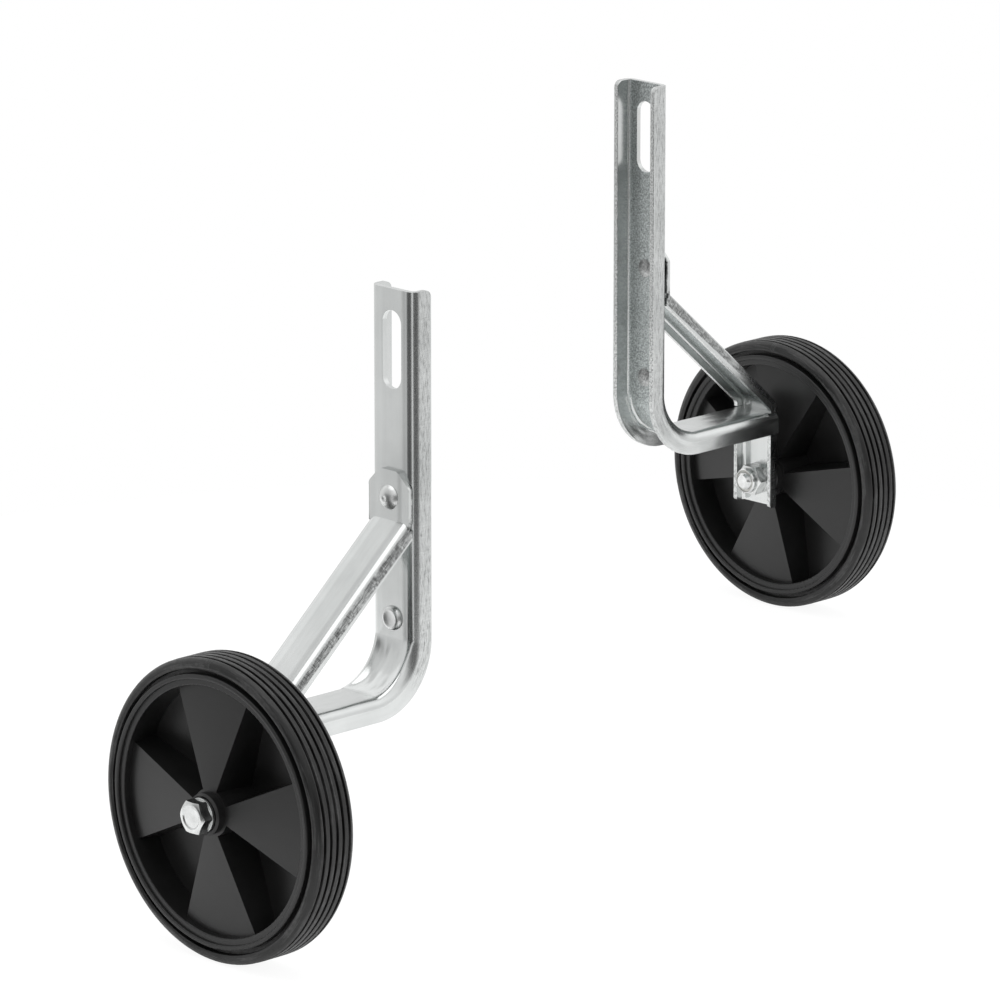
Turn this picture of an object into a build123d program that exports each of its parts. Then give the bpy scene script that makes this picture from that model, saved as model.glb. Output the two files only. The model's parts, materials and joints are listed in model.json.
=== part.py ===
from build123d import *
from math import cos, radians, sin, tan
import os

# A pair of bicycle training wheels, in millimetres, +Z up, standing on the floor at Z = 0.
# Both wheels turn about Y. The right unit stands on the -Y side, the left one on the +Y side, and
# each has its arm on the side of the bicycle.
#
# A unit is modelled about its wheel's centre: X fore and aft, Y inboard towards the bicycle, Z up.

# The pair on the floor
pair_spacing = 556.0
pair_stagger = 216.0

# Tyre
wheel_diameter = 127.0
tyre_width = 21.0
tyre_crown = 4.6
tyre_shoulder_radius = 3.5
tyre_bead_bevel = 0.5
tyre_bead_gap = 1.8
tread_groove_count = 5
tread_groove_pitch = 3.4
tread_groove_width = 1.5
tread_groove_depth = 1.3
tyre_fit = 0.05

# Moulded wheel
rim_seat_width = 15.0
rim_lip_height = 3.0
rim_lip_thickness = 3.5
rim_lip_breadth = 2.2
rim_lip_rounding = 0.7
rim_ledge_breadth = 2.6
rim_ledge_drop = 1.2
rim_ledge_rounding = 0.5
petal_count = 4
petal_rim_offset = 6.7
petal_hub_offset = 10.5
petal_thickness = 2.5
pocket_wall = 1.9
pocket_draft = 5.0
pocket_hub_wall = 1.2
hub_diameter = 17.5
hub_length = 29.0
hub_edge_rounding = 0.8
hub_recess_diameter = 15.4
hub_recess_depth = 0.9
hub_side_play = 0.2
hub_running_clearance = 0.08
right_wheel_turn = -2.0
left_wheel_turn = 35.7

# Axle bolt, sleeve, washers and nut
bolt_diameter = 8.0
bolt_head_width = 13.0
bolt_head_height = 5.3
bolt_end_past_nut = 1.6
bolt_end_chamfer = 1.0
bolt_clearance = 0.1
hexagon_flat_share = 0.475
sleeve_diameter = 12.0
washer_diameter = 14.6
washer_thickness = 1.6
head_washer_thickness = 2.0
nut_width = 13.0
nut_height = 8.0
nut_collar_diameter = 11.8
nut_collar_height = 2.6
nut_collar_lip = 0.5
insert_diameter = 10.4
insert_thickness = 1.7
thread_clearance = 0.04

# Arm, a pressed channel of sheet steel
arm_sheet = 2.5
arm_edge_radius = 4.2
arm_width = 25.5
arm_depth = 10.0
arm_offset = 92.0
arm_level = 33.5
arm_bend_radius = 20.0
arm_corner_radius = 3.0
slot_width = 11.0
slot_length = 33.0
slot_height = 174.5
slot_top_margin = 9.0

# Brace, a pressed channel of thinner sheet
brace_sheet = 2.0
brace_edge_radius = 3.8
brace_width = 23.5
brace_depth = 6.5
brace_crease_height = 103.5
brace_corner_height = 38.5
brace_corner_radius = 9.0
brace_tab_height = 21.0
brace_top_clip = 6.5
brace_top_rounding = 3.0
brace_foot = 12.0
brace_foot_rounding = 1.5
brace_notch_radius = 1.3

# Rivets
rivet_diameter = 6.0
rivet_head_diameter = 10.4
rivet_dome_height = 3.0
rivet_flat_height = 1.9
rivet_tail_diameter = 8.4
rivet_tail_depth = 1.2
rivet_tail_crown = 0.6
rivet_clearance = 0.05
upper_rivet_rise = 9.5
lower_rivet_rise = 28.0

# Places that follow from the sizes above
wheel_radius = wheel_diameter / 2
tyre_side_radius = wheel_radius - tyre_crown
rim_lip_radius = tyre_side_radius - tyre_bead_gap
rim_lip_width = rim_seat_width + 2 * rim_lip_thickness
rim_seat_radius = rim_lip_radius - rim_lip_height
rim_ledge_radius = rim_lip_radius - rim_lip_breadth
rim_inner_radius = rim_ledge_radius - rim_ledge_breadth
sleeve_half = hub_length / 2 - hub_recess_depth + hub_side_play
tab_outer = sleeve_half + washer_thickness
tab_inner = tab_outer + brace_sheet
nut_seat = tab_inner + washer_thickness
nut_end = nut_seat + nut_height
bolt_end = nut_end + bolt_end_past_nut
bolt_head_seat = sleeve_half + head_washer_thickness
arm_top = slot_height + slot_length / 2 + slot_top_margin
brace_face = arm_offset - brace_sheet
brace_top = brace_crease_height + brace_tab_height
upper_rivet_height = brace_crease_height + upper_rivet_rise
lower_rivet_height = arm_level + lower_rivet_rise
bolt_hole_radius = bolt_diameter / 2 + bolt_clearance
rivet_hole_radius = rivet_diameter / 2 + rivet_clearance

# How far a cut runs past the face that it opens
cut_margin = 1.0


def turned(points):
    """Solid of revolution about Y from (radius, y) points."""
    return revolve(make_face(Polyline(*points, close=True)), axis=Axis.Y)


def across(sketch, start, end):
    """Extrude an (x, z) sketch along Y from start to end."""
    upright = Plane(origin=(0, end, 0), x_dir=(1, 0, 0), z_dir=(0, -1, 0))
    return extrude(upright * sketch, end - start)


def channel_section(width, depth, sheet, edge_radius):
    """U section with its web's outer face at y = 0 and its flanges towards -y."""
    outer = Rectangle(width, depth, align=(Align.CENTER, Align.MAX))
    outer = fillet(outer.vertices().group_by(Axis.Y)[-1], edge_radius)
    inner = Pos(0, -sheet) * Rectangle(width - 2 * sheet, depth, align=(Align.CENTER, Align.MAX))
    inner = fillet(inner.vertices().group_by(Axis.Y)[-1], edge_radius - sheet)
    return outer - inner


def channel(path, section):
    """Sheet channel swept along a path that its web's outer face follows."""
    start = Plane(origin=path @ 0, x_dir=(1, 0, 0), z_dir=path % 0)
    return sweep(start * section, path=path)


def upright_path(points, radius):
    """Path in the YZ plane from (y, z) points, with one rounded corner."""
    return FilletPolyline(*[(0, y, z) for y, z in points], radius=radius)


def box_between(low, high):
    """Box from its lowest and highest corners."""
    size = [b - a for a, b in zip(low, high)]
    middle = [(a + b) / 2 for a, b in zip(low, high)]
    return Pos(*middle) * Box(*size)


def hexagon(width, height):
    """Hexagonal prism along +Z with its edges chamfered round at both ends."""
    prism = extrude(RegularPolygon(width / 2, 6, major_radius=False), height)
    reach = width / 2 / cos(radians(30))
    flat = width * hexagon_flat_share
    drop = (reach - flat) * tan(radians(30))
    profile = Polyline(
        (0, 0, 0),
        (flat, 0, 0),
        (reach, 0, drop),
        (reach, 0, height - drop),
        (flat, 0, height),
        (0, 0, height),
        close=True,
    )
    return prism & revolve(make_face(profile), axis=Axis.Z)


def along_y(solid):
    """Turn a solid built along +Z to lie along +Y, flats above and below."""
    return Rot(-90, 0, 0) * solid


def make_arm():
    path = upright_path(
        [(arm_offset, arm_top), (arm_offset, arm_level), (tab_inner, arm_level)], arm_bend_radius
    )
    section = channel_section(arm_width, arm_depth, arm_sheet, arm_edge_radius)
    arm = channel(path, section)
    free_corners = arm.edges().filter_by(Axis.X).group_by(Axis.Z)[-1].group_by(Axis.Y)[-1]
    arm = fillet(free_corners, arm_corner_radius)
    slot = Pos(0, slot_height) * SlotOverall(slot_length, slot_width, rotation=90)
    arm -= across(slot, arm_offset - cut_margin, arm_offset + arm_sheet + cut_margin)
    tail_face = arm_offset + arm_sheet
    for height in (upper_rivet_height, lower_rivet_height):
        hole = Pos(0, height) * Circle(rivet_hole_radius)
        arm -= across(hole, arm_offset - cut_margin, tail_face + cut_margin)
        arm -= Pos(0, 0, height) * make_tail(tail_face, rivet_clearance)
    return arm


def make_brace():
    run = brace_face - tab_outer
    rise = brace_crease_height - brace_corner_height
    slope = rise / run
    reach = 2 * brace_depth
    beyond = (brace_face + reach, brace_crease_height + slope * reach)
    path = upright_path(
        [beyond, (tab_outer, brace_corner_height), (tab_outer, -brace_foot)], brace_corner_radius
    )
    section = channel_section(brace_width, brace_depth, brace_sheet, brace_edge_radius)
    brace = channel(path, section)
    limit = 2 * (arm_top + arm_offset)
    brace &= box_between((-limit, -limit, -limit), (limit, arm_offset, limit))

    tab_height = brace_top - brace_crease_height + brace_sheet
    tab = Pos(0, brace_top) * Rectangle(
        brace_width, tab_height, align=(Align.CENTER, Align.MAX)
    )
    tab = chamfer(tab.vertices().group_by(Axis.Y)[-1], brace_top_clip)
    upper = [v for v in tab.vertices() if v.Y > brace_crease_height]
    tab = fillet(upper, brace_top_rounding)
    brace += across(tab, brace_face, arm_offset)

    arm_end = box_between(
        (-arm_width, tab_inner, arm_level - arm_depth), (arm_width, arm_offset, arm_level)
    )
    brace -= arm_end
    notch = Pos(0, arm_offset, brace_crease_height - brace_sheet) * Rot(0, 90, 0) * Cylinder(
        brace_notch_radius, 2 * brace_width
    )
    web_inside = brace_width / 2 - brace_sheet
    kept = box_between((-web_inside, 0, 0), (web_inside, arm_offset, arm_top))
    brace -= notch - kept
    foot_corners = brace.edges().filter_by(Axis.X).group_by(Axis.Z)[0].group_by(Axis.Y)[-1]
    brace = fillet(foot_corners, brace_foot_rounding)
    brace -= across(Circle(bolt_hole_radius), tab_outer - cut_margin, tab_inner + cut_margin)
    rivet_hole = Pos(0, upper_rivet_height) * Circle(rivet_hole_radius)
    brace -= across(rivet_hole, brace_face - cut_margin, arm_offset + cut_margin)
    return brace


def make_cap(radius, height, base, side):
    """Spherical cap about Y on the plane y = base, bulging towards side (+1 or -1)."""
    ball_radius = (radius ** 2 + height ** 2) / (2 * height)
    ball = Pos(0, base + side * (height - ball_radius), 0) * Sphere(ball_radius)
    low, high = sorted((base, base + side * 2 * height))
    return ball & make_ring(2 * radius, 0, low, high)


def make_tail(tail_face, clearance):
    """Countersunk end of a rivet, widening to the face that it is closed on."""
    shank = rivet_diameter / 2 + clearance
    edge = rivet_tail_diameter / 2 + clearance
    depth = tail_face - rivet_tail_depth
    return turned([(0, depth), (shank, depth), (edge, tail_face), (0, tail_face)])


def make_rivet(head_face, head_height, height):
    """Rivet along Y: its head outboard of head_face, its tail closed in the arm's countersink."""
    tail_face = arm_offset + arm_sheet
    rivet = make_ring(rivet_diameter / 2, 0, head_face, tail_face)
    rivet += make_cap(rivet_head_diameter / 2, head_height, head_face, -1)
    rivet += make_tail(tail_face, 0)
    rivet += make_cap(rivet_tail_diameter / 2, rivet_tail_crown, tail_face, 1)
    return Pos(0, 0, height) * rivet


def make_bolt():
    radius = bolt_diameter / 2
    shank = turned([
        (0, -bolt_head_seat),
        (radius, -bolt_head_seat),
        (radius, bolt_end - bolt_end_chamfer),
        (radius - bolt_end_chamfer, bolt_end),
        (0, bolt_end),
    ])
    head = along_y(hexagon(bolt_head_width, bolt_head_height))
    return shank + Pos(0, -bolt_head_seat - bolt_head_height, 0) * head


def make_ring(outer_radius, inner_radius, start, end):
    return turned([(inner_radius, start), (outer_radius, start), (outer_radius, end), (inner_radius, end)])


def make_washer(start, thickness):
    return make_ring(washer_diameter / 2, bolt_hole_radius, start, start + thickness)


def make_nut():
    bore = bolt_diameter / 2 + thread_clearance
    body_height = nut_height - nut_collar_height
    collar = nut_collar_diameter / 2
    nut = along_y(hexagon(nut_width, body_height))
    nut += turned([
        (0, 0),
        (collar, 0),
        (collar, nut_height - nut_collar_lip),
        (collar - nut_collar_lip, nut_height),
        (0, nut_height),
    ])
    recess_floor = nut_height - nut_collar_lip - insert_thickness
    nut -= make_ring(insert_diameter / 2, 0, recess_floor, nut_height + cut_margin)
    nut -= make_ring(bore, 0, -cut_margin, nut_height)
    return Pos(0, nut_seat, 0) * nut


def make_insert():
    start = nut_seat + nut_height - nut_collar_lip - insert_thickness
    outer = insert_diameter / 2 - thread_clearance
    inner = bolt_diameter / 2 + thread_clearance
    return make_ring(outer, inner, start, start + insert_thickness)


def petal_offset(radius):
    """How far a petal's outer face lies from the wheel's middle plane."""
    share = (radius - hub_diameter / 2) / (rim_inner_radius - hub_diameter / 2)
    return petal_hub_offset + share * (petal_rim_offset - petal_hub_offset)


def make_pocket():
    """The space of one deep sector that opens towards -Y, centred on +Z."""
    inner = hub_diameter / 2 + pocket_hub_wall
    mouth = -rim_lip_width
    space = turned([
        (inner, mouth),
        (rim_inner_radius, mouth),
        (rim_inner_radius, petal_offset(rim_inner_radius) - petal_thickness),
        (inner, petal_offset(inner) - petal_thickness),
    ])
    half = radians(90 / petal_count)
    tip = pocket_wall / 2 / sin(half)
    far = 1.4 * rim_inner_radius
    spread = (far - tip) * tan(half)
    wedge = Polygon((0, tip), (spread, far), (-spread, far), align=None)
    inward = Plane(origin=(0, 0, 0), x_dir=(-1, 0, 0), z_dir=(0, 1, 0))
    outward = Plane(origin=(0, 0, 0), x_dir=(1, 0, 0), z_dir=(0, -1, 0))
    deep = extrude(inward * wedge, petal_hub_offset, taper=pocket_draft)
    shallow = extrude(outward * wedge, rim_lip_width, taper=-pocket_draft)
    return (deep + shallow) & space


def make_wheel(turn):
    bore = sleeve_diameter / 2 + hub_running_clearance
    hub = hub_diameter / 2
    hub_half = hub_length / 2
    seat_half = rim_seat_width / 2
    lip_half = rim_lip_width / 2
    ledge_half = lip_half - rim_ledge_drop
    recess = hub_recess_diameter / 2
    side = [
        (bore, hub_half - hub_recess_depth),
        (recess, hub_half - hub_recess_depth),
        (recess, hub_half),
        (hub - hub_edge_rounding, hub_half),
        (hub, hub_half - hub_edge_rounding),
        (hub, petal_hub_offset),
        (rim_inner_radius, petal_rim_offset),
        (rim_inner_radius, ledge_half),
        (rim_ledge_radius, ledge_half),
        (rim_ledge_radius, lip_half),
        (rim_lip_radius, lip_half),
        (rim_lip_radius, seat_half),
        (rim_seat_radius, seat_half),
    ]
    outline = side + [(radius, -y) for radius, y in reversed(side)]
    section = Polygon(*outline, align=None)
    for radius, half, rounding in (
        (rim_inner_radius, ledge_half, rim_ledge_rounding),
        (rim_ledge_radius, lip_half, rim_lip_rounding),
        (rim_lip_radius, lip_half, rim_lip_rounding),
    ):
        corners = [v for v in section.vertices() if abs(v.X - radius) + abs(abs(v.Y) - half) < 0.01]
        section = fillet(corners, rounding)
    wheel = revolve(section, axis=Axis.Y)
    pocket = make_pocket()
    step = 360 / petal_count
    for index in range(petal_count):
        wheel -= Rot(0, step * (index + 0.5), 0) * pocket
        wheel -= Rot(0, step * index, 0) * Rot(0, 0, 180) * pocket
    return Rot(0, turn, 0) * wheel


def make_tyre():
    half = tyre_width / 2
    seat = rim_seat_radius + tyre_fit
    seat_half = rim_seat_width / 2 - tyre_fit
    bead = wheel_radius - tyre_shoulder_radius
    section = Pos(seat, 0) * Rectangle(
        wheel_radius - seat, tyre_width, align=(Align.MIN, Align.CENTER)
    )
    section = fillet(section.vertices().group_by(Axis.X)[-1], tyre_shoulder_radius)
    for side in (-1, 1):
        section -= Polygon(
            (rim_inner_radius, side * seat_half),
            (tyre_side_radius, side * seat_half),
            (tyre_side_radius, side * (half - tyre_bead_bevel)),
            (bead, side * half),
            (bead, side * tyre_width),
            (rim_inner_radius, side * tyre_width),
            align=None,
        )
    tyre = revolve(section, axis=Axis.Y)
    floor = wheel_radius - tread_groove_depth
    for index in range(tread_groove_count):
        middle = tread_groove_pitch * (index - (tread_groove_count - 1) / 2)
        tyre -= turned([
            (floor, middle - tread_groove_width / 3),
            (wheel_radius + cut_margin, middle - tread_groove_width / 2),
            (wheel_radius + cut_margin, middle + tread_groove_width / 2),
            (floor, middle + tread_groove_width / 3),
        ])
    return tyre


def make_unit(wheel_turn):
    """Every piece of one training wheel about its wheel's centre."""
    return {
        "arm": make_arm(),
        "brace": make_brace(),
        "upper_rivet": make_rivet(brace_face, rivet_dome_height, upper_rivet_height),
        "lower_rivet": make_rivet(arm_offset, rivet_flat_height, lower_rivet_height),
        "axle_bolt": make_bolt(),
        "head_washer": make_washer(-bolt_head_seat, head_washer_thickness),
        "bearing_sleeve": make_ring(sleeve_diameter / 2, bolt_hole_radius, -sleeve_half, sleeve_half),
        "hub_washer": make_washer(sleeve_half, washer_thickness),
        "nut_washer": make_washer(tab_inner, washer_thickness),
        "lock_nut": make_nut(),
        "nut_insert": make_insert(),
        "wheel": make_wheel(wheel_turn),
        "tyre": make_tyre(),
    }


def write_unit(side, place, wheel_turn):
    for name, piece in make_unit(wheel_turn).items():
        placed = place * piece
        placed.label = side + "_" + name
        export_step(placed, os.path.join("parts", placed.label + ".step"))


os.makedirs("parts", exist_ok=True)
right_place = Pos(pair_stagger / 2, -pair_spacing / 2, wheel_radius)
left_place = Pos(-pair_stagger / 2, pair_spacing / 2, wheel_radius) * Rot(0, 0, 180)
write_unit("right", right_place, right_wheel_turn)
write_unit("left", left_place, left_wheel_turn)
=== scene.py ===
import json
import math

import bmesh
import bpy
from mathutils import Matrix, Vector


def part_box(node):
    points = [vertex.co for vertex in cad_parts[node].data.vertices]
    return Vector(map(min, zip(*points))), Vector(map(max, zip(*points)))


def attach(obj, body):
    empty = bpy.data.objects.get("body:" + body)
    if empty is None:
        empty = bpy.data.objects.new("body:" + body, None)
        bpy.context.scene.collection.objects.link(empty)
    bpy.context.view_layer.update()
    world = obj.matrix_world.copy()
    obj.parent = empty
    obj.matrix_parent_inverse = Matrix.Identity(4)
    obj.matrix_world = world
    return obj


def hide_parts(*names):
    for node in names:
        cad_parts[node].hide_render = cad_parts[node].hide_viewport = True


# Bicycle training wheels, in metres, in the CAD frame: Y along the wheels' axes, Z up, floor at 0.
# Sizes along a unit are written x fore and aft, b inboard from the wheel's middle, z up from its axis.
# Angles of the camera, the room and the lamps are in degrees.

MM = 0.001

# Camera: the photograph's long view of the pair from the right unit's outer side
camera_azimuth = 45.25
camera_elevation = 14.65
camera_distance = 3.231
camera_lens = 288.0
camera_sensor = 36.0
camera_aim_right = 0.10935
camera_aim_up = 0.12415
camera_clip_end = 50

# Edge roundings
sheet_edge_rounding = 0.35 * MM
moulded_edge_rounding = 0.25 * MM
washer_edge_rounding = 0.22 * MM
insert_edge_rounding = 0.1 * MM
rounding_segments = 2
rounding_profile = 0.5
sharp_angle = math.radians(28)
flat_angle = math.radians(0.2)
merge_distance = 1e-7
face_weight = 100
face_weight_threshold = 0.01

# Pressed sheet: the path that each channel's outer face follows, and its section. The section gives the part
# of the flanges' depth that is scored with streaks along the sheet and darkened as painted shade, its
# darkest and middle tones, and the distance along the sheet down to which this reaches. "waved" is how wavy
# the sheet stays after its bend.
arm_offset = 92.0 * MM
arm_level = 33.5 * MM
arm_bend_radius = 20.0 * MM
arm_bend_length = arm_bend_radius * math.pi / 2
arm_section = {
    "half_width": 12.75 * MM, "depth": 10.0 * MM, "sheet": 2.5 * MM,
    "scored_and_shaded": (0.9 * MM, 9.2 * MM), "dark": 0.42, "middle": 0.86, "scored_and_shaded_to": 8 * MM, "waved": 0.4,
}
brace_face = 90.0 * MM
brace_crease = 103.5 * MM
brace_tab = 15.4 * MM
brace_corner = 38.5 * MM
brace_bend_length = 0.1 * MM
brace_section = {
    "half_width": 11.75 * MM, "depth": 6.5 * MM, "sheet": 2.0 * MM,
    "scored_and_shaded": (1.0 * MM, 5.6 * MM), "dark": 0.20, "middle": 0.50, "scored_and_shaded_to": 140 * MM, "waved": 0.0,
}
brace_run = math.hypot(brace_face - brace_tab, brace_crease - brace_corner)
face_tolerance = 0.35 * MM
place_tolerance = 0.001 * MM

# Bulge that pressing leaves beside the web in the arm's bend, with its taper as an exponent
bulge_height = 1.3 * MM
bulge_place = 9.6 * MM
bulge_breadth = 2.3 * MM
bulge_depth = 4.2 * MM
bulge_taper = 0.7
bulge_cuts = 14
bulge_shortest_edge = 8 * MM

# Axle bolt. The head's face and rim are set back and dropped by shares of bolt_edge.
bolt_head_width = 13.0 * MM
hexagon_flat_share = 0.458
head_chamfer_angle = math.radians(30)
face_set_back, face_drop = 1.5, 0.3
rim_set_back, rim_drop = 0.2, 0.1
bolt_radius = 4.0 * MM
bolt_edge = 0.25 * MM
head_recess_radius = 4.2 * MM
head_recess_slope = 0.7 * MM
head_recess_depth = 0.4 * MM
bolt_end_chamfer = 1.0 * MM
thread_pitch = 1.25 * MM
thread_depth = 0.62 * MM
thread_length = 14.0 * MM
thread_flank, thread_crest = 1.25, 0.12
thread_runout = 2 * thread_pitch
thread_steps = 72
thread_levels = 8

# Rivets
rivet_steps = 64
rivet_head_radius = 5.2 * MM
dome_height = 3.0 * MM
dome_steps = 24
dome_dimple_radius = 1.7 * MM
dome_dimple_depth = 0.35 * MM
flat_height = 1.9 * MM
flat_steps = 12
flat_face_radius = 3.5 * MM
flat_dish_share = 0.8
flat_ring_depth = 0.3 * MM
rivet_shank_radius = 3.0 * MM
rivet_tail_radius = 4.2 * MM
rivet_tail_depth = 1.2 * MM
rivet_tail_crown = 0.6 * MM
tail_shoulder_reach, tail_shoulder_rise = 0.6, 0.7

# Zinc on sheet: patterns per metre across, along and through the sheet, and tones over each pattern
cloud_scale = 34.0
zinc_tones = ((0.60, 0.615, 0.61), (0.70, 0.715, 0.71))
grain_stretch = (700.0, 12.0, 700.0)
grain_tones = [(0.3, 0.97), (0.65, 1.0)]
mottle_scale = 1500.0
mottle_tones = [(0.36, (0.38, 0.40, 0.40)), (0.50, (0.64, 0.67, 0.67)), (0.62, (0.96, 1.0, 1.0))]
score_stretch = (2300.0, 260.0, 2300.0)
# Where the tones of the flanges' streaks sit; the darker tones are painted shade
score_and_shade_places = (0.34, 0.48, 0.62)
mark_stretch = (140.0, 1600.0, 140.0)
mark_tones = [(0.38, 0.45), (0.60, 1.0)]
patch_stretch = (60.0, 75.0, 60.0)
patch_shares = [(0.38, 0.0), (0.48, 1.0)]
fleck_stretch = (1300.0, 900.0, 1300.0)
fleck_tones = [(0.40, 0.55), (0.55, 1.0)]
wrinkle_stretch = (150.0, 55.0, 150.0)
arm_cross_marks = 0.15
brace_cross_marks = 1.0

# Zinc on sheet: where the zones fade, in from a flange, through the sheet and along it
corner_fade = (1.9 * MM, 1.2 * MM)
easing_fade = (3.4 * MM, 7.4 * MM)
score_and_shade_fade_in = 0.6 * MM
score_and_shade_fade_out = 0.4 * MM
score_and_shade_fade_along = 12 * MM

# Zinc on sheet: where the bend's waves fade, as shares of the bend's length
bend_fade_in = 0.3
bend_fade_out = (1.05, 0.75)
waved_fade = (0.6, 1.0)

# Zinc on sheet: roughness over the patterns, and the relief of each
grain_roughness = [(0.25, 0.235), (0.75, 0.22)]
mottle_roughness = [(0.35, 0.50), (0.65, 0.28)]
score_roughness = [(0.35, 0.34), (0.65, 0.22)]
wrinkle_relief, wrinkle_strength = 1.2 * MM, 0.7
press_easing = 0.16 * MM
grain_relief, grain_strength = 0.01 * MM, 0.06
mottle_relief, mottle_strength = 0.06 * MM, 0.5
score_relief, score_strength = 0.08 * MM, 0.25
mark_relief, mark_strength = 0.08 * MM, 0.6
fleck_relief, fleck_strength = 0.15 * MM, 0.6

# Where a cloud pattern reaches its lowest and its highest value
cloud_low, cloud_high = 0.3, 0.7

# Zinc on hardware
hardware_cloud_scale = 260.0
hardware_tones = ((0.64, 0.65, 0.645), (0.76, 0.77, 0.765))
hardware_roughness = (0.26, 0.16)
hardware_fine_scale = 1800.0
hardware_relief, hardware_strength = 0.02 * MM, 0.3
rivet_roughness = (0.40, 0.30)
tail_tones = [(0.36, 0.30), (0.62, 0.78)]

# Plastic, nylon and rubber, each tone and roughness from the lowest to the highest of its pattern
moulded_cloud_scale = 70.0
moulded_relief, moulded_strength = 0.02 * MM, 0.4
plastic_tones = ((0.008,) * 3, (0.012,) * 3)
plastic_roughness = (0.33, 0.42)
plastic_speckle_scale = 2600.0
nylon_tones = ((0.70, 0.70, 0.66), (0.80, 0.80, 0.76))
nylon_roughness = (0.45, 0.55)
nylon_speckle_scale = 1800.0
smear_stretch = (520.0, 520.0, 34.0)
smear_tones = [(0.45, 0.002), (0.52, 0.007), (0.59, 0.050)]
smear_roughness = [(0.35, 0.30), (0.65, 0.52)]
smear_relief, smear_strength = 0.6 * MM, 0.5
dust_scale = 420.0
dust_tones = [(0.40, 0.55), (0.66, 1.0)]
dust_roughness = [(0.35, 0.55), (0.6, 0.34)]
rubber_fine_scale = 1600.0
rubber_relief, rubber_strength = 0.05 * MM, 0.4

# Studio floor
floor_radius = 0.5
floor_steps = 128
floor_colour = (0.8, 0.8, 0.8, 1)
floor_roughness = 0.9
floor_glow = 0.3
floor_white = 1.06
floor_lift = 0.82

# Studio room: how bright it is at each bearing, 0 towards -Y and 90 towards +X, and at each elevation
room_walls = [
    (-180, 0.9), (-150, 0.9), (-60, 0.84), (-42, 0.84), (-30, 0.11), (18, 0.11), (25, 0.95), (35, 0.95),
    (43, 0.13), (94, 0.16), (112, 0.95), (180, 0.95),
]
room_upper = [
    (-180, 0.95), (-120, 0.85), (-60, 0.85), (0, 0.6), (45, 1.05), (100, 1.0), (140, 1.25), (180, 1.1),
]
room_band = 0.42
room_top = 1.7
room_upper_start, room_upper_end = 8, 30
room_band_start, room_band_end = 49, 52
room_top_start, room_top_end = 55, 59
room_strength = 1.7

# Studio lamps: name, azimuth, elevation, distance, size and power
lamps = [
    ("key", -100, 32, 2.6, (2.4, 1.6), 3.5),
    ("top", 0, 88, 2.4, (2.0, 2.0), 2),
]
lamp_target = Vector((0, 0, 0.1))

white = (1, 1, 1, 1)

# The direction along Y that is inboard on each side
inboard = {"right": 1, "left": -1}

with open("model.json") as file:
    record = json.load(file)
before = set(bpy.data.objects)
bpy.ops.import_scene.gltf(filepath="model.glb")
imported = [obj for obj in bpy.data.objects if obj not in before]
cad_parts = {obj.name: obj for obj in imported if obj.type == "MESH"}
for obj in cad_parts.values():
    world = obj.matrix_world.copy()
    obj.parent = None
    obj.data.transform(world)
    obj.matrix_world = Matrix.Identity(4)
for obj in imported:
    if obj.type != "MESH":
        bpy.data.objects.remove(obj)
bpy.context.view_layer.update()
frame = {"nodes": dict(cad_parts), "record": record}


# Shader helpers

def new_material(name):
    """A material with an empty node tree, its tree and its Principled shader."""
    material = bpy.data.materials.new(name)
    material.use_nodes = True
    tree = material.node_tree
    tree.nodes.clear()
    output = tree.nodes.new("ShaderNodeOutputMaterial")
    shader = tree.nodes.new("ShaderNodeBsdfPrincipled")
    tree.links.new(shader.outputs["BSDF"], output.inputs["Surface"])
    return material, tree, shader


def add_node(tree, kind, **values):
    """Add a node; names that match a property set it, other names set an input socket."""
    node = tree.nodes.new(kind)
    for key, value in values.items():
        if hasattr(node, key):
            setattr(node, key, value)
        else:
            node.inputs[key.replace("_", " ")].default_value = value
    return node


def fill_input(tree, socket, value):
    """Link a socket to an input, or set the input to a colour or a number."""
    if isinstance(value, bpy.types.NodeSocket):
        tree.links.new(value, socket)
    elif isinstance(value, (tuple, list)):
        socket.default_value = (*value, 1.0)
    else:
        socket.default_value = value


def object_point(tree):
    return add_node(tree, "ShaderNodeTexCoord").outputs["Object"]


def stored_vector(tree, name):
    return add_node(tree, "ShaderNodeAttribute", attribute_name=name).outputs["Vector"]


def stored_share(tree, name):
    return add_node(tree, "ShaderNodeAttribute", attribute_name=name).outputs["Fac"]


def split(tree, vector):
    node = add_node(tree, "ShaderNodeSeparateXYZ")
    tree.links.new(vector, node.inputs[0])
    return node.outputs[0], node.outputs[1], node.outputs[2]


def noise_value(tree, vector, scale, detail=3.0, roughness=0.55):
    texture = add_node(tree, "ShaderNodeTexNoise", Scale=scale, Detail=detail, Roughness=roughness)
    tree.links.new(vector, texture.inputs["Vector"])
    return texture.outputs["Fac"]


def stretched_noise(tree, vector, stretch, detail, roughness=0.55):
    """Noise with a scale of its own in each direction."""
    mapping = add_node(tree, "ShaderNodeMapping", Scale=stretch)
    tree.links.new(vector, mapping.inputs["Vector"])
    return noise_value(tree, mapping.outputs["Vector"], 1.0, detail, roughness)


def ramp(tree, value, stops):
    """Colour ramp from (position, grey or colour) stops."""
    node = add_node(tree, "ShaderNodeValToRGB")
    elements = node.color_ramp.elements
    while len(elements) < len(stops):
        elements.new(0.5)
    for element, (position, colour) in zip(elements, stops):
        element.position = position
        if not isinstance(colour, (tuple, list)):
            colour = (colour, colour, colour)
        element.color = (*colour, 1.0)
    tree.links.new(value, node.inputs["Fac"])
    return node.outputs["Color"]


def clouded(tree, cloud, ends):
    """Grey or colour that goes from the first of ends to the second as a pattern rises."""
    return ramp(tree, cloud, [(cloud_low, ends[0]), (cloud_high, ends[1])])


def blended(tree, first, second, share, mode="MIX"):
    """Mix two colours, each a socket or a colour, by share, a socket or a number."""
    node = add_node(tree, "ShaderNodeMix", data_type="RGBA", blend_type=mode)
    fill_input(tree, node.inputs[6], first)
    fill_input(tree, node.inputs[7], second)
    fill_input(tree, node.inputs[0], share)
    return node.outputs[2]


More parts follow.
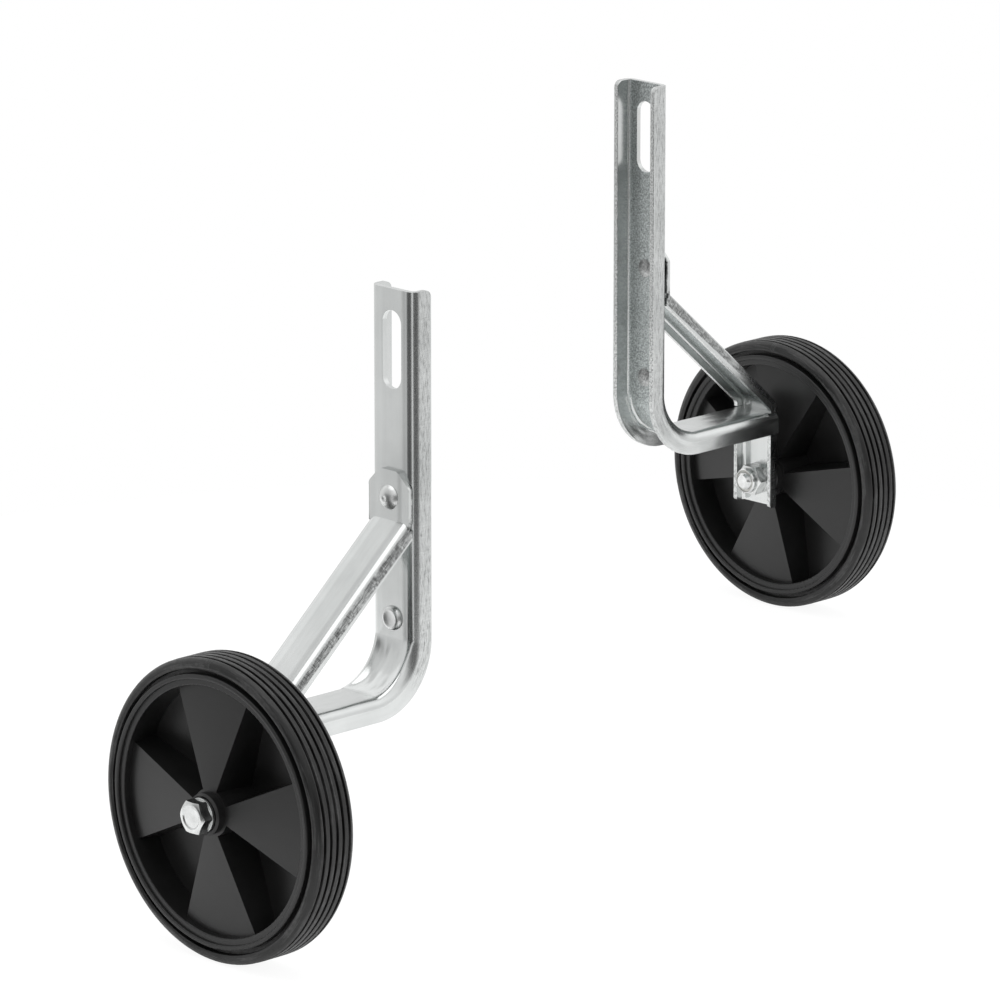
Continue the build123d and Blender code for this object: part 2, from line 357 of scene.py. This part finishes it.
def combined(tree, operation, first, second):
    """Maths on two values, each a socket or a number."""
    node = add_node(tree, "ShaderNodeMath", operation=operation)
    fill_input(tree, node.inputs[0], first)
    fill_input(tree, node.inputs[1], second)
    return node.outputs[0]


def product(tree, first, *others):
    for other in others:
        first = combined(tree, "MULTIPLY", first, other)
    return first


def stepped(tree, value, start, end):
    """0 up to start and 1 from end on, either way round."""
    node = add_node(tree, "ShaderNodeMapRange", interpolation_type="SMOOTHSTEP")
    reverse = start > end
    node.inputs["From Min"].default_value = min(start, end)
    node.inputs["From Max"].default_value = max(start, end)
    node.inputs["To Min"].default_value = float(reverse)
    node.inputs["To Max"].default_value = float(not reverse)
    tree.links.new(value, node.inputs["Value"])
    return node.outputs[0]


def bumped(tree, height, distance, strength, normal=None):
    node = add_node(tree, "ShaderNodeBump", Distance=distance)
    fill_input(tree, node.inputs["Strength"], strength)
    tree.links.new(height, node.inputs["Height"])
    if normal is not None:
        tree.links.new(normal, node.inputs["Normal"])
    return node.outputs["Normal"]


def camera_mixed(tree, usual, lifted, share):
    """Shader that is usual, but lifted to the camera by share."""
    seen = add_node(tree, "ShaderNodeLightPath").outputs["Is Camera Ray"]
    node = add_node(tree, "ShaderNodeMixShader")
    tree.links.new(product(tree, seen, share), node.inputs[0])
    tree.links.new(usual, node.inputs[1])
    tree.links.new(lifted, node.inputs[2])
    return node.outputs[0]


# Materials

def zinc_sheet_material(name, section, cross_marks, bend_length):
    """Bright zinc plating on pressed sheet.

    The attribute flow runs across, along and through the sheet. The attribute inner marks the inside
    of the channel, which is mottled, and edge its sheared edges. The flanges are scored with streaks
    along the sheet, which also darken them as painted shade, and a bend that starts at 0 along is wrinkled."""
    material, tree, shader = new_material(name)
    point = object_point(tree)
    flow = stored_vector(tree, "flow")
    inner = stored_share(tree, "inner")
    edge = stored_share(tree, "edge")
    across, along, depth = split(tree, flow)
    outward = combined(tree, "ABSOLUTE", across, 0.0)
    half_width = section["half_width"]
    low, high = section["scored_and_shaded"]
    flange = product(
        tree, stepped(tree, outward, half_width - corner_fade[0], half_width - corner_fade[1]),
        stepped(tree, depth, low, low + score_and_shade_fade_in),
        stepped(tree, depth, high + score_and_shade_fade_out, high),
        stepped(tree, along, section["scored_and_shaded_to"] + score_and_shade_fade_along, section["scored_and_shaded_to"]),
    )
    bend = product(
        tree, stepped(tree, along, 0.0, bend_fade_in * bend_length),
        stepped(tree, along, bend_fade_out[0] * bend_length, bend_fade_out[1] * bend_length),
    )
    level = stepped(tree, along, waved_fade[0] * bend_length, waved_fade[1] * bend_length)
    bend = combined(tree, "MAXIMUM", bend, product(tree, level, section["waved"]))

    cloud = noise_value(tree, point, cloud_scale)
    grain = stretched_noise(tree, flow, grain_stretch, detail=4.0, roughness=0.6)
    colour = clouded(tree, cloud, zinc_tones)
    colour = blended(tree, colour, ramp(tree, grain, grain_tones), 1.0, "MULTIPLY")

    mottle = noise_value(tree, point, mottle_scale, detail=2.5, roughness=0.7)
    colour = blended(tree, colour, ramp(tree, mottle, mottle_tones), inner, "MULTIPLY")

    # Scored streaks on the flanges; their darkest and middle tones are painted shade
    score = stretched_noise(tree, flow, score_stretch, detail=4.0, roughness=0.75)
    score_and_shade_tones = list(zip(score_and_shade_places, (section["dark"], section["middle"], 1.0)))
    colour = blended(tree, colour, ramp(tree, score, score_and_shade_tones), flange, "MULTIPLY")

    marks = stretched_noise(tree, flow, mark_stretch, detail=2.0, roughness=0.6)
    patches = ramp(tree, stretched_noise(tree, flow, patch_stretch, detail=2.0), patch_shares)
    marked = product(tree, flange, patches, cross_marks)
    colour = blended(tree, colour, ramp(tree, marks, mark_tones), marked, "MULTIPLY")

    flecks = stretched_noise(tree, flow, fleck_stretch, detail=3.0, roughness=0.7)
    colour = blended(tree, colour, ramp(tree, flecks, fleck_tones), edge, "MULTIPLY")
    tree.links.new(colour, shader.inputs["Base Color"])

    gloss = ramp(tree, grain, grain_roughness)
    gloss = blended(tree, gloss, ramp(tree, mottle, mottle_roughness), inner)
    gloss = blended(tree, gloss, ramp(tree, score, score_roughness), flange)
    tree.links.new(gloss, shader.inputs["Roughness"])

    wrinkles = stretched_noise(tree, flow, wrinkle_stretch, detail=1.5, roughness=0.4)
    easing = stepped(tree, outward, half_width - easing_fade[0], half_width - easing_fade[1])
    normal = bumped(tree, wrinkles, wrinkle_relief, product(tree, bend, wrinkle_strength))
    normal = bumped(tree, easing, press_easing, 1.0, normal)
    normal = bumped(tree, grain, grain_relief, grain_strength, normal)
    for pattern, relief, zone, strength in (
        (mottle, mottle_relief, inner, mottle_strength),
        (score, score_relief, flange, score_strength),
        (marks, mark_relief, marked, mark_strength),
        (flecks, fleck_relief, edge, fleck_strength),
    ):
        normal = bumped(tree, pattern, relief, product(tree, zone, strength), normal)
    tree.links.new(normal, shader.inputs["Normal"])
    shader.inputs["Metallic"].default_value = 1.0
    return material


def zinc_hardware_material(name, roughness):
    """Brighter zinc on turned and forged small parts, dull where the attribute tail marks a rivet's tail."""
    material, tree, shader = new_material(name)
    point = object_point(tree)
    cloud = noise_value(tree, point, hardware_cloud_scale)
    fine = noise_value(tree, point, hardware_fine_scale, detail=2.0)
    dull = ramp(tree, noise_value(tree, point, mottle_scale, detail=2.5, roughness=0.7), tail_tones)
    colour = clouded(tree, cloud, hardware_tones)
    colour = blended(tree, colour, dull, stored_share(tree, "tail"), "MULTIPLY")
    tree.links.new(colour, shader.inputs["Base Color"])
    tree.links.new(clouded(tree, cloud, roughness), shader.inputs["Roughness"])
    tree.links.new(bumped(tree, fine, hardware_relief, hardware_strength), shader.inputs["Normal"])
    shader.inputs["Metallic"].default_value = 1.0
    return material


def moulded_material(name, tones, roughness, speckle_scale):
    """Moulded polymer with a fine surface and a slight unevenness of tone and gloss."""
    material, tree, shader = new_material(name)
    point = object_point(tree)
    cloud = noise_value(tree, point, moulded_cloud_scale, detail=4.0)
    speckle = noise_value(tree, point, speckle_scale, detail=3.0, roughness=0.6)
    tree.links.new(clouded(tree, cloud, tones), shader.inputs["Base Color"])
    gloss = blended(tree, clouded(tree, cloud, roughness), clouded(tree, speckle, roughness), 0.5)
    tree.links.new(gloss, shader.inputs["Roughness"])
    tree.links.new(bumped(tree, speckle, moulded_relief, moulded_strength), shader.inputs["Normal"])
    return material


def rubber_material(name):
    """Black rubber with faint smears round the tyre; its attribute flow is radius, side and turn."""
    material, tree, shader = new_material(name)
    point = object_point(tree)
    flow = stored_vector(tree, "flow")
    smears = stretched_noise(tree, flow, smear_stretch, detail=4.0, roughness=0.65)
    dust = noise_value(tree, point, dust_scale, detail=4.0, roughness=0.7)
    fine = noise_value(tree, point, rubber_fine_scale, detail=3.0, roughness=0.6)
    colour = blended(tree, ramp(tree, smears, smear_tones), ramp(tree, dust, dust_tones), 1.0, "MULTIPLY")
    tree.links.new(colour, shader.inputs["Base Color"])
    gloss = blended(tree, ramp(tree, smears, smear_roughness), ramp(tree, dust, dust_roughness), 0.5)
    tree.links.new(gloss, shader.inputs["Roughness"])
    normal = bumped(tree, smears, smear_relief, smear_strength)
    tree.links.new(bumped(tree, fine, rubber_relief, rubber_strength, normal), shader.inputs["Normal"])
    return material


arm_zinc = zinc_sheet_material("zinc_sheet_arm", arm_section, arm_cross_marks, arm_bend_length)
brace_zinc = zinc_sheet_material("zinc_sheet_brace", brace_section, brace_cross_marks, brace_bend_length)
hardware_zinc = zinc_hardware_material("zinc_hardware", hardware_roughness)
rivet_zinc = zinc_hardware_material("zinc_rivets", rivet_roughness)
plastic = moulded_material("black_plastic", plastic_tones, plastic_roughness, plastic_speckle_scale)
rubber = rubber_material("black_rubber")
nylon = moulded_material("nylon", nylon_tones, nylon_roughness, nylon_speckle_scale)


# Places on a unit

def side_of(node):
    return node.split("_")[0]


def middle_of(node):
    low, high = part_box(node)
    return (low + high) / 2


def on_axis(point):
    return Vector((point.x, 0, point.z))


wheel_centre = {side: middle_of(side + "_tyre") for side in inboard}


def to_unit(side, position):
    """A unit's own x, b and z from a position in the frame."""
    offset = position - wheel_centre[side]
    return inboard[side] * offset.x, inboard[side] * offset.y, offset.z


def from_unit(side, x, b, z):
    return wheel_centre[side] + Vector((inboard[side] * x, inboard[side] * b, z))


def ends_along(node):
    """A node's outboard and inboard ends as distances along its unit's axis."""
    low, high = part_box(node)
    return (low.y, high.y) if inboard[side_of(node)] > 0 else (-high.y, -low.y)


def arm_flow(b, z):
    """How far along the arm and how deep behind its outer face a point is, 0 along at the bend's start."""
    bend_b = arm_offset - arm_bend_radius
    bend_z = arm_level + arm_bend_radius
    if z >= bend_z:
        return bend_z - z, b - arm_offset
    if b <= bend_b:
        return arm_bend_length + bend_b - b, arm_level - z
    angle = math.atan2(bend_z - z, b - bend_b)
    return arm_bend_radius * angle, math.hypot(bend_z - z, b - bend_b) - arm_bend_radius


def brace_flow(b, z):
    """The same for the brace, 0 along at its crease."""
    if z > brace_crease:
        return brace_crease - z, b - brace_face
    if z < brace_corner and b < 2 * brace_tab:
        return brace_run + brace_corner - z, b - brace_tab
    run = Vector((brace_tab - brace_face, brace_corner - brace_crease)).normalized()
    offset = Vector((b - brace_face, z - brace_crease))
    return offset.dot(run), offset.dot(Vector((-run.y, run.x)))


# Meshes

def link(name, mesh):
    piece = bpy.data.objects.new(name, mesh)
    bpy.context.scene.collection.objects.link(piece)
    return piece


def mesh_of(work, name):
    """Mesh from a bmesh, smooth but for its sharp edges."""
    mesh = bpy.data.meshes.new(name)
    work.to_mesh(mesh)
    work.free()
    mesh.shade_smooth()
    mesh.set_sharp_from_angle(angle=sharp_angle)
    return mesh


def raise_bulge(work, side):
    """Split the arm's bend across and raise a ridge on each side of its web, as pressing leaves it."""
    across = []
    for edge in work.edges:
        ends = [to_unit(side, v.co) for v in edge.verts]
        distances = [arm_flow(b, z)[0] for x, b, z in ends]
        inside = all(-place_tolerance < d < arm_bend_length + place_tolerance for d in distances)
        if inside and abs(ends[0][0] - ends[1][0]) > bulge_shortest_edge:
            across.append(edge)
    bmesh.ops.subdivide_edges(work, edges=across, cuts=bulge_cuts, use_grid_fill=True)
    bend_b = arm_offset - arm_bend_radius
    bend_z = arm_level + arm_bend_radius
    for vert in work.verts:
        x, b, z = to_unit(side, vert.co)
        along, depth = arm_flow(b, z)
        if 0 < along < arm_bend_length and depth < bulge_depth:
            angle = along / arm_bend_radius
            rise = bulge_height * max(0.0, math.sin(2 * angle)) ** bulge_taper
            share = math.exp(-(((abs(x) - bulge_place) / bulge_breadth) ** 2))
            reach = arm_bend_radius + depth - rise * share
            vert.co = from_unit(side, x, bend_b + reach * math.cos(angle), bend_z - reach * math.sin(angle))


def mark_sheet(mesh, side, flow_at, section):
    """Store the directions of the sheet, its inside and its sheared edges for the shader."""
    flow = mesh.attributes.new("flow", "FLOAT_VECTOR", "POINT")
    for index, vert in enumerate(mesh.vertices):
        x, b, z = to_unit(side, vert.co)
        flow.data[index].vector = (x, *flow_at(b, z))
    inner = mesh.attributes.new("inner", "FLOAT", "FACE")
    edge = mesh.attributes.new("edge", "FLOAT", "FACE")
    for index, face in enumerate(mesh.polygons):
        x, b, z = to_unit(side, face.center)
        along, depth = flow_at(b, z)
        within = abs(x) < section["half_width"] - section["sheet"]
        # The brace's hanging tab is as bright inside as outside
        hanging = section is brace_section and along > brace_run
        behind = abs(depth - section["sheet"]) < face_tolerance
        inner.data[index].value = float(within and behind and not hanging)
        edge.data[index].value = float(depth > section["depth"] - face_tolerance)


def mark_round(mesh, side):
    """Store how far from the wheel's axis, how far to the side and how far round each point is."""
    flow = mesh.attributes.new("flow", "FLOAT_VECTOR", "POINT")
    for index, vert in enumerate(mesh.vertices):
        x, b, z = to_unit(side, vert.co)
        radius = math.hypot(x, z)
        flow.data[index].vector = (radius, b, radius * math.atan2(x, -z))


def rounded_copy(node, rounding):
    """Copy of a CAD node with its sharp edges rounded."""
    work = bmesh.new()
    work.from_mesh(frame["nodes"][node].data)
    bmesh.ops.remove_doubles(work, verts=work.verts, dist=merge_distance)
    bmesh.ops.dissolve_limit(
        work, angle_limit=flat_angle, verts=work.verts, edges=work.edges, delimit={"MATERIAL"}
    )
    crisp = [e for e in work.edges if len(e.link_faces) == 2 and e.calc_face_angle(0.0) > sharp_angle]
    bmesh.ops.bevel(
        work, geom=crisp, offset=rounding, segments=rounding_segments, profile=rounding_profile,
        affect="EDGES", clamp_overlap=True,
    )
    if node.endswith("_arm"):
        raise_bulge(work, side_of(node))
    bmesh.ops.triangulate(work, faces=[f for f in work.faces if len(f.verts) > 4])
    mesh = mesh_of(work, node + "_detailed")
    mesh.materials.clear()
    piece = link(node + "_detailed", mesh)
    weights = piece.modifiers.new("flat faces", "WEIGHTED_NORMAL")
    weights.keep_sharp = True
    weights.weight = face_weight
    weights.thresh = face_weight_threshold
    with bpy.context.temp_override(object=piece, active_object=piece, selected_objects=[piece]):
        bpy.ops.object.modifier_apply(modifier=weights.name)
    return piece


def spun(name, profile, steps, centre, sign):
    """Surface round a Y axis through centre from profile(turn), a list of (radius, distance along).

    sign is +1 where inboard is +Y."""
    work = bmesh.new()
    rings = []
    for step in range(steps):
        turn = 2 * math.pi * step / steps
        ring = []
        for radius, along in profile(turn):
            offset = Vector((radius * math.sin(turn), sign * along, radius * math.cos(turn)))
            ring.append(work.verts.new(centre + offset))
        rings.append(ring)
    for step in range(steps):
        here, after = rings[step], rings[(step + 1) % steps]
        for index in range(len(here) - 1):
            work.faces.new((here[index], here[index + 1], after[index + 1], after[index]))
    bmesh.ops.remove_doubles(work, verts=work.verts, dist=merge_distance)
    bmesh.ops.recalc_face_normals(work, faces=work.faces)
    return link(name, mesh_of(work, name))


body_of = {}
for body, names in frame["record"]["behaviour"]["bodies"].items():
    for name in names:
        body_of[name] = body


def finish_piece(piece, node, material):
    piece.data.materials.append(material)
    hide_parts(node)
    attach(piece, body_of[node])


def hex_reach(width, turn):
    """Distance from the axis to a hexagon's side, flats up and down."""
    sixth = math.pi / 3
    return width / 2 / math.cos((turn + sixth / 2) % sixth - sixth / 2)


def make_bolt(side):
    """Hexagon-head bolt with a real thread on its end."""
    node = side + "_axle_bolt"
    start, end = ends_along(node)
    base = ends_along(side + "_head_washer")[0]
    head_flat = bolt_head_width * hexagon_flat_share
    thread_start = end - thread_length
    count = int(thread_length / thread_pitch * thread_levels)
    levels = [thread_start + index * thread_pitch / thread_levels for index in range(count)]

    def profile(turn):
        reach = hex_reach(bolt_head_width, turn)
        drop = max(0.0, reach - head_flat) * math.tan(head_chamfer_angle)
        points = [
            (0, start + head_recess_depth),
            (head_recess_radius, start + head_recess_depth),
            (head_recess_radius + head_recess_slope, start),
            (head_flat - face_set_back * bolt_edge, start),
            (head_flat, start + face_drop * bolt_edge),
            (reach - rim_set_back * bolt_edge, start + drop + rim_drop * bolt_edge),
            (reach, start + drop + bolt_edge),
            (reach, base - bolt_edge),
            (reach - bolt_edge, base),
            (bolt_radius, base),
            (bolt_radius, thread_start),
        ]
        for along in levels:
            phase = ((along - thread_start) / thread_pitch - turn / (2 * math.pi)) % 1.0
            wave = abs(2 * phase - 1)
            depth = thread_depth * min(1.0, max(0.0, thread_flank * wave - thread_crest))
            fade = min(1.0, (along - thread_start) / thread_runout)
            limit = bolt_radius - max(0.0, along - (end - bolt_end_chamfer))
            points.append((min(bolt_radius - depth * fade, limit), along))
        points += [(bolt_radius - bolt_end_chamfer, end), (0, end)]
        return points

    name = side + "_threaded_bolt"
    piece = spun(name, profile, thread_steps, on_axis(wheel_centre[side]), inboard[side])
    finish_piece(piece, node, hardware_zinc)


def dome_points(start):
    """Outline of a domed rivet head with the small dimple of its forming tool."""
    ball = (rivet_head_radius ** 2 + dome_height ** 2) / (2 * dome_height)
    points = []
    for step in range(dome_steps + 1):
        radius = rivet_head_radius * step / dome_steps
        height = dome_height - ball + math.sqrt(ball ** 2 - radius ** 2)
        dimple = dome_dimple_depth * (0.5 + 0.5 * math.cos(math.pi * min(1.0, radius / dome_dimple_radius)))
        points.append((radius, start + dome_height - max(0.0, height) + dimple))
    return points


def flat_points(start):
    """Outline of a flat rivet head: a pressed face inside a rounded ring."""
    points = [
        (0, start + flat_ring_depth),
        (flat_dish_share * flat_face_radius, start + flat_ring_depth),
        (flat_face_radius, start),
    ]
    for step in range(flat_steps + 1):
        turn = math.pi / 2 * step / flat_steps
        radius = flat_face_radius + (rivet_head_radius - flat_face_radius) * math.sin(turn)
        points.append((radius, start + flat_height * (1 - math.cos(turn))))
    return points


def make_rivet(side, name, outline, height):
    """Rivet with a formed head, and a countersunk tail that the attribute tail marks."""
    node = side + "_" + name
    sign = inboard[side]
    start, end = ends_along(node)
    face = end - rivet_tail_crown
    points = outline(start) + [
        (rivet_shank_radius, start + height),
        (rivet_shank_radius, face - rivet_tail_depth),
        (rivet_tail_radius, face),
        (tail_shoulder_reach * rivet_tail_radius, face + tail_shoulder_rise * rivet_tail_crown),
        (0, end),
    ]
    piece = spun(node + "_formed", lambda turn: points, rivet_steps, on_axis(middle_of(node)), sign)
    tail = piece.data.attributes.new("tail", "FLOAT", "FACE")
    for index, polygon in enumerate(piece.data.polygons):
        tail.data[index].value = float(sign * polygon.center.y > face - rivet_tail_depth)
    finish_piece(piece, node, rivet_zinc)


def make_unit(side):
    """All thirteen pieces of one unit."""
    for name, material, flow_at, section in (
        ("arm", arm_zinc, arm_flow, arm_section),
        ("brace", brace_zinc, brace_flow, brace_section),
    ):
        node = side + "_" + name
        piece = rounded_copy(node, sheet_edge_rounding)
        mark_sheet(piece.data, side, flow_at, section)
        finish_piece(piece, node, material)
    for name in ("head_washer", "hub_washer", "nut_washer", "lock_nut", "bearing_sleeve"):
        node = side + "_" + name
        finish_piece(rounded_copy(node, washer_edge_rounding), node, hardware_zinc)
    for name, material, slot, rounding in (
        ("wheel", plastic, "black_plastic", moulded_edge_rounding),
        ("tyre", rubber, "black_rubber", moulded_edge_rounding),
        ("nut_insert", nylon, "nylon", insert_edge_rounding),
    ):
        node = side + "_" + name
        piece = rounded_copy(node, rounding)
        if name == "tyre":
            mark_round(piece.data, side)
        finish_piece(piece, node, material)
    make_bolt(side)
    make_rivet(side, "upper_rivet", dome_points, dome_height)
    make_rivet(side, "lower_rivet", flat_points, flat_height)


# Floor, world, lamps and camera

def make_floor():
    """Pale floor, lifted to white for the camera but for a faint shadow."""
    bpy.ops.mesh.primitive_circle_add(
        vertices=floor_steps, radius=floor_radius, fill_type="NGON", location=(0, 0, 0)
    )
    floor = bpy.context.active_object
    floor.name = "studio_floor"
    material, tree, shader = new_material("pale_floor")
    shader.inputs["Base Color"].default_value = floor_colour
    shader.inputs["Roughness"].default_value = floor_roughness
    shader.inputs["Emission Color"].default_value = white
    shader.inputs["Emission Strength"].default_value = floor_glow
    lifted = add_node(tree, "ShaderNodeEmission", Color=white, Strength=floor_white)
    surface = camera_mixed(tree, shader.outputs["BSDF"], lifted.outputs[0], floor_lift)
    tree.links.new(surface, tree.nodes["Material Output"].inputs["Surface"])
    floor.data.materials.append(material)


def by_bearing(tree, bearing, levels):
    """Brightness from (degrees, level) stops, as a share of the room's strength."""
    share = combined(tree, "ADD", product(tree, bearing, 0.5 / math.pi), 0.5)
    return ramp(tree, share, [((angle + 180) / 360, level / room_strength) for angle, level in levels])


def risen(tree, upward, start, end):
    """0 below one elevation and 1 above another, in degrees."""
    node = add_node(tree, "ShaderNodeMapRange")
    node.inputs["From Min"].default_value = math.sin(math.radians(start))
    node.inputs["From Max"].default_value = math.sin(math.radians(end))
    tree.links.new(upward, node.inputs["Value"])
    return node.outputs[0]


def make_world():
    """White to the camera; to the object, a bright room with a dark front where the camera stands."""
    world = bpy.data.worlds.new("studio")
    bpy.context.scene.world = world
    world.use_nodes = True
    tree = world.node_tree
    tree.nodes.clear()
    output = tree.nodes.new("ShaderNodeOutputWorld")
    across, along, upward = split(tree, add_node(tree, "ShaderNodeTexCoord").outputs["Generated"])
    bearing = combined(tree, "ARCTAN2", across, product(tree, along, -1.0))
    room = by_bearing(tree, bearing, room_walls)
    for level, start, end in (
        (by_bearing(tree, bearing, room_upper), room_upper_start, room_upper_end),
        ((room_band / room_strength,) * 3, room_band_start, room_band_end),
        ((room_top / room_strength,) * 3, room_top_start, room_top_end),
    ):
        room = blended(tree, room, level, risen(tree, upward, start, end))
    ambient = add_node(tree, "ShaderNodeBackground", Strength=room_strength)
    tree.links.new(room, ambient.inputs["Color"])
    seen = add_node(tree, "ShaderNodeBackground", Color=white, Strength=1.0)
    surface = camera_mixed(tree, ambient.outputs[0], seen.outputs[0], 1.0)
    tree.links.new(surface, output.inputs["Surface"])


def direction(azimuth, elevation):
    """Unit vector away from the object, from degrees: azimuth 0 towards -Y and 90 towards +X."""
    a, e = math.radians(azimuth), math.radians(elevation)
    return Vector((math.sin(a) * math.cos(e), -math.cos(a) * math.cos(e), math.sin(e)))


def make_lamp(name, azimuth, elevation, distance, size, power):
    """Soft rectangular lamp in a direction seen from the object, aimed at it."""
    back = direction(azimuth, elevation)
    data = bpy.data.lights.new(name, "AREA")
    data.shape = "RECTANGLE"
    data.size, data.size_y = size
    data.energy = power
    lamp = link(name, data)
    lamp.location = lamp_target + back * distance
    lamp.rotation_euler = (-back).to_track_quat("-Z", "Y").to_euler()


def make_camera():
    back = direction(camera_azimuth, camera_elevation)
    right = direction(camera_azimuth + 90, 0)
    up = back.cross(right)
    target = wheel_centre["right"] + camera_aim_right * right + camera_aim_up * up
    data = bpy.data.cameras.new("camera")
    data.sensor_width = camera_sensor
    data.lens = camera_lens
    data.clip_end = camera_clip_end
    camera = link("camera", data)
    turned = Matrix((right, up, back)).transposed().to_4x4()
    camera.matrix_world = Matrix.Translation(target + back * camera_distance) @ turned
    bpy.context.scene.camera = camera


for side in inboard:
    make_unit(side)
make_floor()
make_world()
for lamp in lamps:
    make_lamp(*lamp)
make_camera()

bpy.context.scene.view_settings.view_transform = "Standard"
